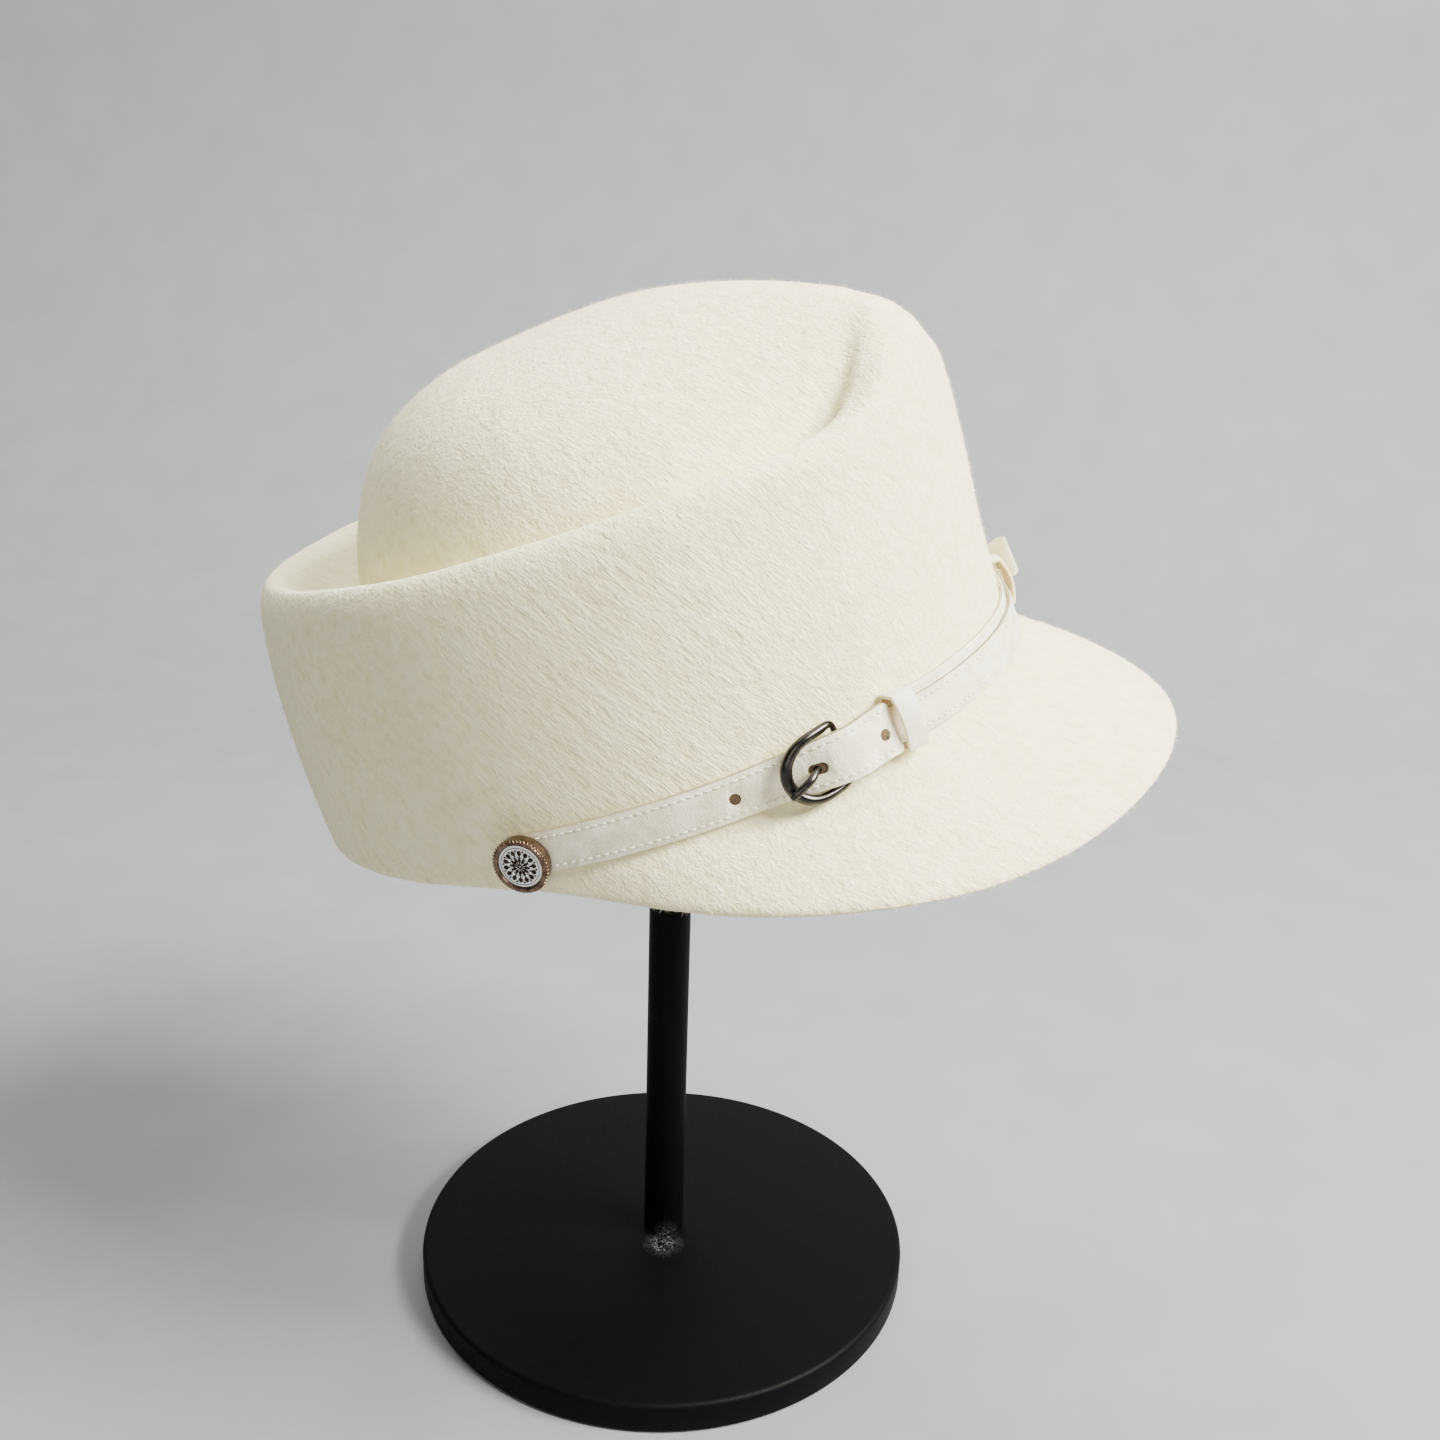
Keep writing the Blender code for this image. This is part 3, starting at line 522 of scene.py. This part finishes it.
def sewStraps():  # stitches, and the needle holes that they dip into
    thread = beadOf((stitch["lengthMm"], stitch["thicknessMm"], stitch["thicknessMm"]))
    hole = beadOf(stitch["holeMm"])
    stitches, holes = ([], []), ([], [])
    inset = stitch["fromEdgeMm"] * millimetre
    step = stitch["pitchMm"] * stitch["degreesPerMm"]
    for nodeName, (firstAngle, lastAngle) in stitchRows.items():
        tree = pieceTree(strapPieces[nodeName])
        for i in range(int((lastAngle - firstAngle) / step)):
            angle = firstAngle + i * step
            for turn, template, made, proud in (
                (0.0, thread, stitches, stitch["proudMm"]), (step / 2, hole, holes, 0.0),
            ):
                edges = edgesAt(tree, angle + turn)
                for height in (edges[1] - inset, edges[0] + inset) if edges else ():
                    seat = seatAt(tree, angle + turn, height, proud)
                    if seat:
                        addCopy(template, seat, *made)
    return meshPiece("strap_stitching", *stitches), meshPiece("needle_holes", *holes)


stitching, needleHoles = sewStraps()
# The needle holes are the pierced hide's tan core, darkened as painted shade in the holes.
for piece, material in ((stitching, waxedThread()), (needleHoles, rawEdgeAndPaintedShade())):
    smooth(piece, 80)
    finishPiece(piece, material)
print("stitching:", len(stitching.data.polygons), "faces")


# Painted shade in the punched holes: a dark disc sunk under each hole, where the felt below lies in the hole's
# shadow

punch = {
    "rows": {"right": (-79.0, -26.0), "left": (26.0, 79.0)},  # angles between which holes are looked for
    "turnStep": 0.1, "riseStep": 0.0002, "edgeSteps": 5,
    "apart": 0.35, "fewest": 7,  # degrees between two holes, and steps that make a hole
    "besideTurn": 2.2, "besideRise": 0.0026,  # where the strap's face is met around a hole
    "overlapMm": 0.5, "thicknessMm": 0.3, "sunk": 0.0003,
}


def punchedHoles(tree, firstAngle, lastAngle):  # groups of places where a ray goes through the strap
    groups = []
    for i in range(int((lastAngle - firstAngle) / punch["turnStep"])):
        angle = firstAngle + i * punch["turnStep"]
        edges = edgesAt(tree, angle)
        if not edges:
            continue
        steps = int((edges[1] - edges[0]) / punch["riseStep"])
        inner = range(punch["edgeSteps"], steps - punch["edgeSteps"])
        heights = [edges[0] + j * punch["riseStep"] for j in inner]
        clear = [height for height in heights if not onPiece(tree, angle, height)[0]]
        if not clear:
            continue
        if not groups or angle - groups[-1][-1][0] > punch["apart"]:
            groups.append([])
        groups[-1].append((angle, min(clear), max(clear)))
    return [group for group in groups if len(group) >= punch["fewest"]]


def paintHoleShade(side):
    tree = pieceTree(strapPieces[f"strap_{side}"])
    beside, rise = punch["besideTurn"], punch["besideRise"]
    points, faces = [], []
    for group in punchedHoles(tree, *punch["rows"][side]):
        angle = (group[0][0] + group[-1][0]) / 2
        low, high = min(row[1] for row in group), max(row[2] for row in group)
        around = [
            seatAt(tree, angle + turn, (low + high) / 2 + up)
            for turn, up in ((-beside, 0.0), (beside, 0.0), (0.0, -rise), (0.0, rise))
        ]
        seats = [seat for seat in around if seat]
        if len(seats) < 2:
            continue
        lengthMm = (group[-1][0] - group[0][0]) / stitch["degreesPerMm"] + punch["overlapMm"]
        widthMm = (high - low) / millimetre + punch["overlapMm"]
        disc = beadOf((lengthMm, widthMm, punch["thicknessMm"]))
        seat = seats[0].copy()
        middle = sum((one.translation for one in seats), Vector()) / len(seats)
        outward = sum((one.col[2].to_3d() for one in seats), Vector()).normalized()
        seat.translation = middle - outward * punch["sunk"]
        addCopy(disc, seat, points, faces)
    shadeDiscs = meshPiece(f"{side}_hole_painted_shade", points, faces)
    smooth(shadeDiscs, 80)
    finishPiece(shadeDiscs, holeShade)
    return len(faces)


# Painted shadow: a near-black brown seen through each punched hole.
holeShade = rawEdgeAndPaintedShade("painted shade in punched hole", "#3A2A1C", "#5C4632")
print("hole linings:", paintHoleShade("right"), paintHoleShade("left"), "faces")


# Keeper loops

keeperLook = {"bevel": 0.0003, "edgeFacing": 0.7}


def keeperLoop(side):  # face suede outside, painted shade on the inner face, pale raw edge at its mouths darkened a little as painted shade
    loop = copyOfNode(f"keeper_{side}", f"{side}_keeper")
    centres = [Vector(face.center) for face in loop.data.polygons]
    middle = sum(centres, Vector()) / len(centres)
    outward = (hatFrame.inverted().to_3x3() @ (middle - hatFrame.translation))
    outward.z = 0.0
    outward = (hatFrame.to_3x3() @ outward).normalized()
    along = outward.cross(hatUp).normalized()
    kinds = []  # 0 for the outer face, 1 for the cut edges, 2 for the inner face, which is painted shade
    for face in loop.data.polygons:
        away = face.center - middle
        away -= along * away.dot(along)
        isEdge = abs(face.normal.dot(along)) > keeperLook["edgeFacing"]
        kinds.append(1 if isEdge else 2 if face.normal.dot(away) < 0 else 0)
    ridePiece(loop, [f"keeper_{side}"])
    for material in keeperMaterials:
        loop.data.materials.append(material)
    loop.data.polygons.foreach_set("material_index", kinds)
    applyModifier(
        loop, "BEVEL", width=keeperLook["bevel"], segments=2, limit_method="ANGLE",
        angle_limit=math.radians(50),
    )
    smooth(loop, 50)


# The inner face is painted shade: a tan colour where the loop's inside lies in shadow. The cut edges are the
# raw hide's pale colour, darkened a little as painted shade.
keeperMaterials = [
    suede("keeper suede", light="#F4EEDD", dark="#DDD5BF"),
    rawEdgeAndPaintedShade("pale raw keeper edge with painted shade", "#DCCB98", "#EDDFB4"),
    rawEdgeAndPaintedShade("painted shade inside keeper", "#A88F66", "#C6AE84"),
]
for side in ("right", "left"):
    keeperLoop(side)
print("keepers done")


# Buckles

def gunmetal():  # zinc alloy plated black nickel: dark, warm, polished, rubbed lighter in places
    material, tree, shader = newMaterial("black nickel plating", Metallic=1.0)
    place = addNode(tree, "TexCoord").outputs["Object"]
    rubbed = addNode(tree, "TexNoise", {"Scale": perMm(2.5), "Detail": 5.0}, {"Vector": place}).outputs["Fac"]
    tree.links.new(ramp(tree, rubbed, ((0.3, "#33302E"), (0.7, "#4C4845"))), shader.inputs["Base Color"])
    tree.links.new(mapRange(tree, rubbed, 0.3, 0.7, 0.20, 0.28), shader.inputs["Roughness"])
    return material


swellMm = {"frame": 0.16, "prong": 0.12}  # gives back what subdividing takes off the wire


def buckle(side):
    for part, swell in swellMm.items():
        wire = copyOfNode(f"buckle_{part}_{side}", f"{side}_buckle_{part}")
        applyModifier(wire, "SUBSURF", levels=2, render_levels=2)
        editAll(wire)
        bpy.ops.transform.shrink_fatten(value=swell * millimetre)
        leaveEdit()
        smooth(wire, 60)
        finishPiece(wire, buckleMetal, [f"buckle_{part}_{side}"])


buckleMetal = gunmetal()
for side in ("right", "left"):
    buckle(side)
print("buckles done")


# Side buttons

button = {
    "radius": 0.0066, "depth": 0.0036, "lip": 0.0011, "wellDepth": 0.0016, "lipRound": 0.0004,
    "cords": 46, "cordMm": (0.8, 0.6, 1.5),  # fewer and coarser than on the real rim, so that they show
    "cordIn": 0.0001, "cordDown": 0.0005, "cordTip": -42, "cordSlant": 32,
    "faceRadius": 0.0054, "faceDepth": 0.0011, "faceTop": 0.00045, "faceRound": 0.00025,
}
rosette = {
    "reliefMm": 0.3, "ridgeMm": 0.12, "slope": 0.16,  # the slope is a share of a leaf's width
    "innerWidth": 0.45,  # of a leaf's inner end, as a share of its outer end's
    "leaves": (
        # (how many, radius of their middles, length, width, turned by this many steps), in mm
        (12, 1.5, 1.9, 0.74, 0.0),
        (14, 3.35, 1.7, 1.15, 0.5),
        (14, 4.05, 0.6, 0.5, 0.0),
    ),
    "rings": (
        # (radius, thickness) in mm
        (4.75, 0.2), (2.4, 0.16), (0.4, 0.4),
    ),
}


def agedBrass():  # cast brass, copper-toned and darkened in its hollows
    material, tree, shader = newMaterial("aged copper-toned brass", Metallic=1.0)
    place = addNode(tree, "TexCoord").outputs["Object"]
    patina = addNode(tree, "TexNoise", {"Scale": perMm(1.2), "Detail": 4.0}, {"Vector": place}).outputs["Fac"]
    tree.links.new(ramp(tree, patina, ((0.3, "#47372D"), (0.7, "#836C5B"))), shader.inputs["Base Color"])
    tree.links.new(mapRange(tree, patina, 0.3, 0.7, 0.42, 0.28), shader.inputs["Roughness"])
    return material


def whiteEnamel():  # poured enamel: smooth, glossy, faintly uneven
    material, tree, shader = newMaterial("white enamel", Roughness=0.22)
    shader.inputs["Coat Weight"].default_value = 0.5
    shader.inputs["Coat Roughness"].default_value = 0.1
    place = addNode(tree, "TexCoord").outputs["Object"]
    cloud = addNode(tree, "TexNoise", {"Scale": perMm(1.5), "Detail": 3.0}, {"Vector": place}).outputs["Fac"]
    tree.links.new(ramp(tree, cloud, ((0.3, "#F8F9F9"), (0.7, "#FFFFFF"))), shader.inputs["Base Color"])
    tree.links.new(bumpOf(tree, cloud, 0.0001, 0.2), shader.inputs["Normal"])
    return material


def darkPewter():  # raised cast ornament, blackened
    material, tree, shader = newMaterial("blackened pewter", Metallic=0.9)
    place = addNode(tree, "TexCoord").outputs["Object"]
    wear = addNode(tree, "TexNoise", {"Scale": perMm(0.6), "Detail": 3.0}, {"Vector": place}).outputs["Fac"]
    tree.links.new(ramp(tree, wear, ((0.35, "#1E1712"), (0.7, "#43362B"))), shader.inputs["Base Color"])
    tree.links.new(mapRange(tree, wear, 0.3, 0.7, 0.5, 0.35), shader.inputs["Roughness"])
    return material


def buttonSeat(side):  # the place of a button: Z is its outward axis, and its back is at Z 0
    points = np.array([vertex.co for vertex in frame["nodes"][f"button_rim_{side}"].data.vertices])
    middle = points.mean(axis=0)
    axis = Vector(np.linalg.svd(points - middle)[2][2])
    if axis.dot(Vector(middle) - hatFrame.translation) < 0:
        axis = -axis
    low = min((Vector(point) - Vector(middle)).dot(axis) for point in points)
    across = Vector((0, 0, 1)).cross(axis).normalized()
    turn = Matrix((across, axis.cross(across), axis)).transposed().to_4x4()
    return Matrix.Translation(Vector(middle) + axis * low) @ turn


def isTop(face):
    return face.normal.z > 0.9


def rimCup():  # a cup with a rounded lip, and a well for the face
    deselectAll()
    bpy.ops.mesh.primitive_cylinder_add(
        vertices=72, radius=button["radius"], depth=button["depth"], location=(0, 0, button["depth"] / 2)
    )
    cup = bpy.context.active_object
    settle(cup, cup.matrix_world.copy())
    editFaces(cup, isTop)
    bpy.ops.mesh.inset(thickness=button["lip"])
    bpy.ops.mesh.extrude_region_move(TRANSFORM_OT_translate={"value": (0, 0, -button["wellDepth"])})
    leaveEdit()
    applyModifier(
        cup, "BEVEL", width=button["lipRound"], segments=4, limit_method="ANGLE", angle_limit=math.radians(60)
    )
    return cup


def ropeEdge():  # slanted cords set round the rim's outer shoulder
    cord = beadOf(button["cordMm"])
    seat = Matrix.Translation((button["radius"] - button["cordIn"], 0.0, button["depth"] - button["cordDown"]))
    tip = Matrix.Rotation(math.radians(button["cordTip"]), 4, "Y")
    slant = Matrix.Rotation(math.radians(button["cordSlant"]), 4, "X")
    points, faces = [], []
    for i in range(button["cords"]):
        turn = Matrix.Rotation(math.tau * i / button["cords"], 4, "Z")
        addCopy(cord, turn @ seat @ tip @ slant, points, faces)
    return meshPiece("rope", points, faces)


def leafOf(length, width):  # a low raised drop along X, narrower at its inner end
    deselectAll()
    bpy.ops.mesh.primitive_cylinder_add(vertices=12, radius=0.5, depth=1.0)
    leaf = bpy.context.active_object
    editAll(leaf)
    size = (length * millimetre, width * millimetre, rosette["reliefMm"] * millimetre)
    bpy.ops.transform.resize(value=size)
    editFaces(leaf, lambda face: face.center.x < -0.2 * length * millimetre)
    bpy.ops.transform.resize(value=(1, rosette["innerWidth"], 1), center_override=(0, 0, 0))
    editFaces(leaf, isTop)
    slope = rosette["slope"] * width * millimetre
    bpy.ops.mesh.inset(thickness=slope, depth=rosette["ridgeMm"] * millimetre)
    leaveEdit()
    return asTemplate(leaf)


def makeRosette():  # generic ornament: a petalled rosette in a ring of drops, studs and fine lines
    height = button["depth"] - button["faceTop"]
    points, faces = [], []
    for count, radius, length, width, steps in rosette["leaves"]:
        leaf = leafOf(length, width)
        seat = Matrix.Translation((radius * millimetre, 0.0, height))
        for i in range(count):
            turn = Matrix.Rotation(math.tau * (i + steps) / count, 4, "Z")
            addCopy(leaf, turn @ seat, points, faces)
    leaves = meshPiece("leaves", points, faces)
    rings = []
    for radius, thickness in rosette["rings"]:
        deselectAll()
        bpy.ops.mesh.primitive_torus_add(
            location=(0, 0, height), major_radius=radius * millimetre, minor_radius=thickness / 2 * millimetre,
            major_segments=48, minor_segments=8,
        )
        rings.append(bpy.context.active_object)
    return joinInto(leaves, *rings)


def enamelDisc():
    deselectAll()
    middle = button["depth"] - button["faceTop"] - button["faceDepth"] / 2
    bpy.ops.mesh.primitive_cylinder_add(
        vertices=64, radius=button["faceRadius"], depth=button["faceDepth"], location=(0, 0, middle)
    )
    disc = bpy.context.active_object
    settle(disc, disc.matrix_world.copy())
    applyModifier(
        disc, "BEVEL", width=button["faceRound"], segments=3, limit_method="ANGLE", angle_limit=math.radians(60)
    )
    return disc


brass, enamel, pewter = agedBrass(), whiteEnamel(), darkPewter()
for side in ("right", "left"):
    seat = buttonSeat(side)
    rim = joinInto(rimCup(), ropeEdge())
    rim.name = f"{side}_button_rim"
    disc = enamelDisc()
    disc.name = f"{side}_button_face"
    ornament = makeRosette()
    ornament.name = f"{side}_button_ornament"
    for piece, material, slotName, nodes in (
        (rim, brass, "antique_brass", [f"button_rim_{side}"]),
        (disc, enamel, "enamel", [f"button_face_{side}"]),
        (ornament, pewter, "gunmetal", ()),
    ):
        settle(piece, seat)
        smooth(piece, 40)
        finishPiece(piece, material, nodes)
print("buttons done")


# Stand

stand = {
    "baseRadius": 0.080, "baseDepth": 0.010, "edge": 0.0016,
    "poleRadius": 0.0065, "restRadius": 0.028,
    "restCut": 0.003,  # how far the rest's flat underside is below its middle
    "scuffAt": (-0.0085, -0.0045, 0.0102), "scuffReach": (0.003, 0.0075),
}


def powderCoat():  # satin black powder coat: fine orange peel, dust, and a scuff at the pole's foot
    material, tree, shader = newMaterial("satin black powder coat", Metallic=0.0)
    shader.inputs["Specular IOR Level"].default_value = 0.07
    place = addNode(tree, "TexCoord").outputs["Object"]
    peel = addNode(tree, "TexNoise", {"Scale": perMm(0.9), "Detail": 2.0}, {"Vector": place}).outputs["Fac"]
    dust = addNode(
        tree, "TexNoise", {"Scale": perMm(3.0), "Detail": 8.0, "Roughness": 0.75}, {"Vector": place}
    ).outputs["Fac"]
    dustMask = mapRange(tree, dust, 0.62, 0.80, 0.0, 0.05)
    away = addNode(tree, "VectorMath", {"operation": "DISTANCE", 1: stand["scuffAt"]}, {0: place})
    near = mapRange(tree, away.outputs["Value"], *stand["scuffReach"], 1.0, 0.0)
    scratches = addNode(
        tree, "TexNoise", {"Scale": perMm(1.1), "Detail": 6.0, "Roughness": 0.8, "Distortion": 1.5},
        {"Vector": place},
    ).outputs["Fac"]
    scuffed = mapRange(tree, scratches, 0.50, 0.58, 0.0, 0.75)
    scuff = addNode(tree, "Math", {"operation": "MULTIPLY"}, {0: scuffed, 1: near}).outputs[0]
    mask = addNode(tree, "Math", {"operation": "MAXIMUM"}, {0: scuff, 1: dustMask}).outputs[0]
    stops = ((0.0, "#020304"), (0.5, "#3A3B3D"), (1.0, "#A6A6A4"))
    tree.links.new(ramp(tree, mask, stops), shader.inputs["Base Color"])
    tree.links.new(mapRange(tree, peel, 0.3, 0.7, 0.50, 0.62), shader.inputs["Roughness"])
    tree.links.new(bumpOf(tree, peel, 0.0001, 0.12), shader.inputs["Normal"])
    return material


def standBase():
    deselectAll()
    bpy.ops.mesh.primitive_cylinder_add(
        vertices=192, radius=stand["baseRadius"], depth=stand["baseDepth"],
        location=(0, 0, stand["baseDepth"] / 2),
    )
    base = bpy.context.active_object
    base.name = "round_base"
    settle(base, base.matrix_world.copy())
    applyModifier(
        base, "BEVEL", width=stand["edge"], segments=4, limit_method="ANGLE", angle_limit=math.radians(60)
    )
    return base


def standPole():
    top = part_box("stand_pole")[1].z
    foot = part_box("stand_pole")[0].z
    restMiddle = top - stand["restRadius"]
    deselectAll()
    bpy.ops.mesh.primitive_cylinder_add(
        vertices=64, radius=stand["poleRadius"], depth=restMiddle - foot,
        location=(0, 0, (restMiddle + foot) / 2),
    )
    pole = bpy.context.active_object
    pole.name = "pole"
    settle(pole, pole.matrix_world.copy())
    bpy.ops.mesh.primitive_uv_sphere_add(
        segments=64, ring_count=32, radius=stand["restRadius"], location=(0, 0, restMiddle)
    )
    rest = bpy.context.active_object
    settle(rest, rest.matrix_world.copy())
    editAll(rest)
    bpy.ops.mesh.bisect(
        plane_co=(0, 0, restMiddle - stand["restCut"]), plane_no=(0, 0, 1), clear_inner=True, use_fill=True
    )
    leaveEdit()
    return joinInto(pole, rest)


coat = powderCoat()
for piece, node in ((standBase(), "stand_base"), (standPole(), "stand_pole")):
    smooth(piece, 30)
    finishPiece(piece, coat, [node])
print("stand done")


# Floor, light and camera

studio = {
    "halfWidth": 3.0, "bendAt": 0.5, "bendRadius": 0.5, "bendSteps": 12, "topAt": 2.4,
    "turn": -65,  # so that the raised end faces the camera
    "sky": "#DCE6F5", "skyStrength": 0.27,
}


def palePaper():  # seamless paper
    material, tree, shader = newMaterial("pale seamless paper", Roughness=0.8)
    place = addNode(tree, "TexCoord").outputs["Object"]
    fleck = addNode(tree, "TexNoise", {"Scale": perMm(40.0), "Detail": 3.0}, {"Vector": place}).outputs["Fac"]
    tree.links.new(ramp(tree, fleck, ((0.3, "#7E8083"), (0.7, "#838589"))), shader.inputs["Base Color"])
    return material


def backdrop():  # floor that curves up behind the stand
    half, bendAt, radius = studio["halfWidth"], studio["bendAt"], studio["bendRadius"]
    deselectAll()
    bpy.ops.mesh.primitive_plane_add(size=1)
    paper = bpy.context.active_object
    paper.name = "paper_backdrop"
    editAll(paper)
    bpy.ops.transform.resize(value=(2 * half, half + bendAt, 1))
    bpy.ops.transform.translate(value=(0, (bendAt - half) / 2, 0))
    bpy.ops.mesh.select_all(action="DESELECT")
    leaveEdit()
    for vertex in paper.data.vertices:  # the far edge
        vertex.select = vertex.co.y > 0
    bpy.ops.object.mode_set(mode="EDIT")
    profile = [(0.0, 0.0)]
    for i in range(1, studio["bendSteps"] + 1):
        turn = math.pi / 2 * i / studio["bendSteps"]
        profile.append((radius * math.sin(turn), radius * (1 - math.cos(turn))))
    profile.append((radius, studio["topAt"]))
    for (along, height), (nextAlong, nextHeight) in zip(profile, profile[1:]):
        step = (0, nextAlong - along, nextHeight - height)
        bpy.ops.mesh.extrude_region_move(TRANSFORM_OT_translate={"value": step})
    leaveEdit()
    settle(paper, Matrix.Rotation(math.radians(studio["turn"]), 4, "Z"))
    paper.data.materials.append(palePaper())
    smooth(paper, 60)
    return paper


backdrop()
world = bpy.data.worlds.new("soft studio")
world.use_nodes = True
world.node_tree.nodes["Background"].inputs["Color"].default_value = linear(studio["sky"])
world.node_tree.nodes["Background"].inputs["Strength"].default_value = studio["skyStrength"]
bpy.context.scene.world = world

softBoxes = {
    # name: (place, size, power, colour)
    "key_right": ((0.05, -1.15, 1.35), 0.8, 140.0, "#FFFCF4"),
    "top": ((0.3, 0.35, 1.7), 1.2, 34.0, "#FFFFFF"),
    "camera_fill": ((-1.5, -0.5, 0.7), 1.0, 8.0, "#FFF6E4"),
}
lightTarget = Vector((0.0, 0.0, 0.2))
for name, (place, size, power, colour) in softBoxes.items():
    lamp = bpy.data.lights.new(name, "AREA")
    lamp.size = size
    lamp.energy = power
    lamp.color = linear(colour)[:3]
    box = bpy.data.objects.new(name, lamp)
    bpy.context.scene.collection.objects.link(box)
    box.location = place
    box.rotation_euler = (lightTarget - Vector(place)).to_track_quat("-Z", "Y").to_euler()

viewpoint = {"at": (-0.3640, -0.1848, 0.3305), "azimuth": 65.0, "down": 18.84, "roll": 1.85, "lens": 36.1}


def photoCamera():
    heading, down, roll = (math.radians(viewpoint[key]) for key in ("azimuth", "down", "roll"))
    level = Vector((math.sin(heading), math.cos(heading), 0.0))
    forward = (level * math.cos(down) - Vector((0, 0, math.sin(down)))).normalized()
    right = Vector((math.cos(heading), -math.sin(heading), 0.0))
    up = right.cross(forward)
    cameraRight = right * math.cos(roll) + up * math.sin(roll)
    cameraUp = up * math.cos(roll) - right * math.sin(roll)
    lens = bpy.data.cameras.new("photo camera")
    lens.lens = viewpoint["lens"]
    lens.sensor_width = 36.0
    lens.clip_start = 0.01
    camera = bpy.data.objects.new("photo_camera", lens)
    turn = Matrix((cameraRight, cameraUp, -forward)).transposed().to_4x4()
    camera.matrix_world = Matrix.Translation(viewpoint["at"]) @ turn
    bpy.context.scene.collection.objects.link(camera)
    return camera


bpy.context.scene.camera = photoCamera()
print("stage, light and camera done")

bpy.context.view_layer.update()
